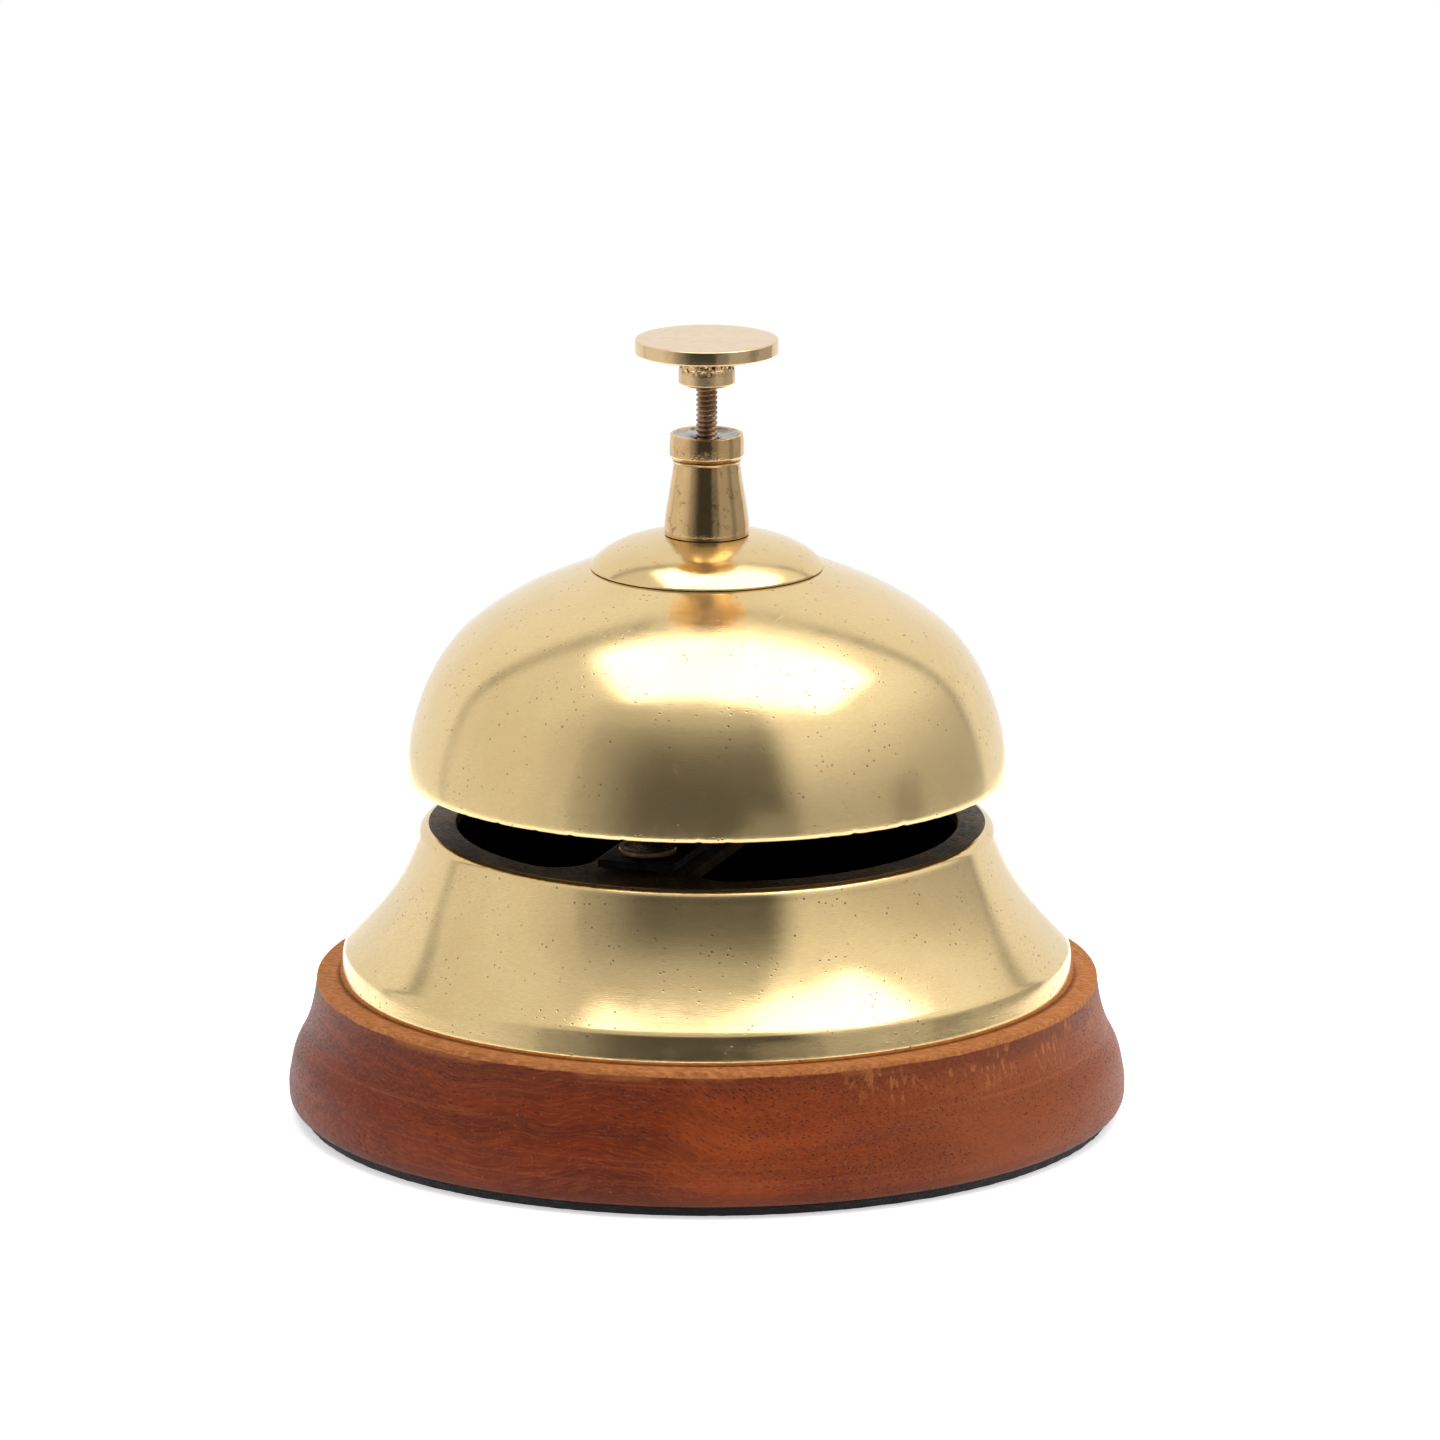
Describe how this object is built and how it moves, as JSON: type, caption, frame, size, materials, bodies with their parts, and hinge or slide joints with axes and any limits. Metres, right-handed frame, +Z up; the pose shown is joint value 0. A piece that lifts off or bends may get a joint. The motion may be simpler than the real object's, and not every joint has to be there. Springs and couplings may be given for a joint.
{
  "type": "desk bell",
  "caption": "Counter call bell: round push button on a stem above a polished brass gong, on a flared brass skirt and a turned wooden base with felt.",
  "frame": {"origin": "centre of the felt's underside, where the bell stands", "axes": "+Z up along the stem; +Y away from the viewer who faces the bell; +X to the viewer's right"},
  "size_m": [0.1304, 0.1304, 0.1222],
  "materials": {
    "polished_brass": "polished with fine turning lines",
    "satin_brass": "satin turned",
    "cast_brass": "polished outside, dull cast inside",
    "dull_steel": "dull",
    "brown_steel": "brown patina",
    "hardwood": "oiled and worn",
    "felt": "matte felt",
    "leather_washer": "matte"
  },
  "bodies": {
    "root": {"felt_pad": "felt", "wooden_base": "hardwood", "base_skirt": "cast_brass", "base_screw_1": "dull_steel", "base_screw_2": "dull_steel", "base_screw_3": "dull_steel", "base_washer_1": "dull_steel", "base_washer_2": "dull_steel", "base_washer_3": "dull_steel", "yoke_bracket": "dull_steel", "yoke_bolt_1": "brown_steel", "yoke_bolt_2": "brown_steel", "yoke_washer_1": "dull_steel", "yoke_washer_2": "dull_steel", "yoke_nut_1": "dull_steel", "yoke_nut_2": "dull_steel", "centre_post": "dull_steel", "post_washer": "dull_steel", "post_nut": "dull_steel", "gong_seat_washer": "leather_washer", "gong": "polished_brass", "gong_nut": "dull_steel", "dome_cap": "polished_brass", "collar": "satin_brass", "return_spring": "dull_steel", "pivot_pin": "dull_steel", "pivot_spacer_1": "satin_brass", "pivot_spacer_2": "satin_brass", "pivot_clip_1": "dull_steel", "pivot_clip_2": "dull_steel"},
    "plunger": {"plunger_rod": "brown_steel", "spring_retainer_nut": "dull_steel", "button_hub": "satin_brass", "button_disc": "satin_brass"},
    "rocker": {"hammer_lever": "dull_steel", "hammer_head": "satin_brass", "hammer_nut": "dull_steel"}
  },
  "joints": [
    {"name": "button_press", "type": "slide", "parent": "root", "child": "plunger", "axis": [0, 0, -1], "range_m": [0, 0.004], "stiffness_N_per_m": 300, "springref_m": -0.004, "deforming": ["return_spring"]},
    {"name": "hammer_swing", "type": "hinge", "parent": "root", "child": "rocker", "pos_m": [-0.00853, 0.00286, 0.0667], "axis": [0.3173, 0.9483, 0], "range_deg": [0, 25.5]}
  ],
  "couplings": [
    {"joint": "hammer_swing", "follows": "button_press", "rad_per_m": 111.11}
  ]
}
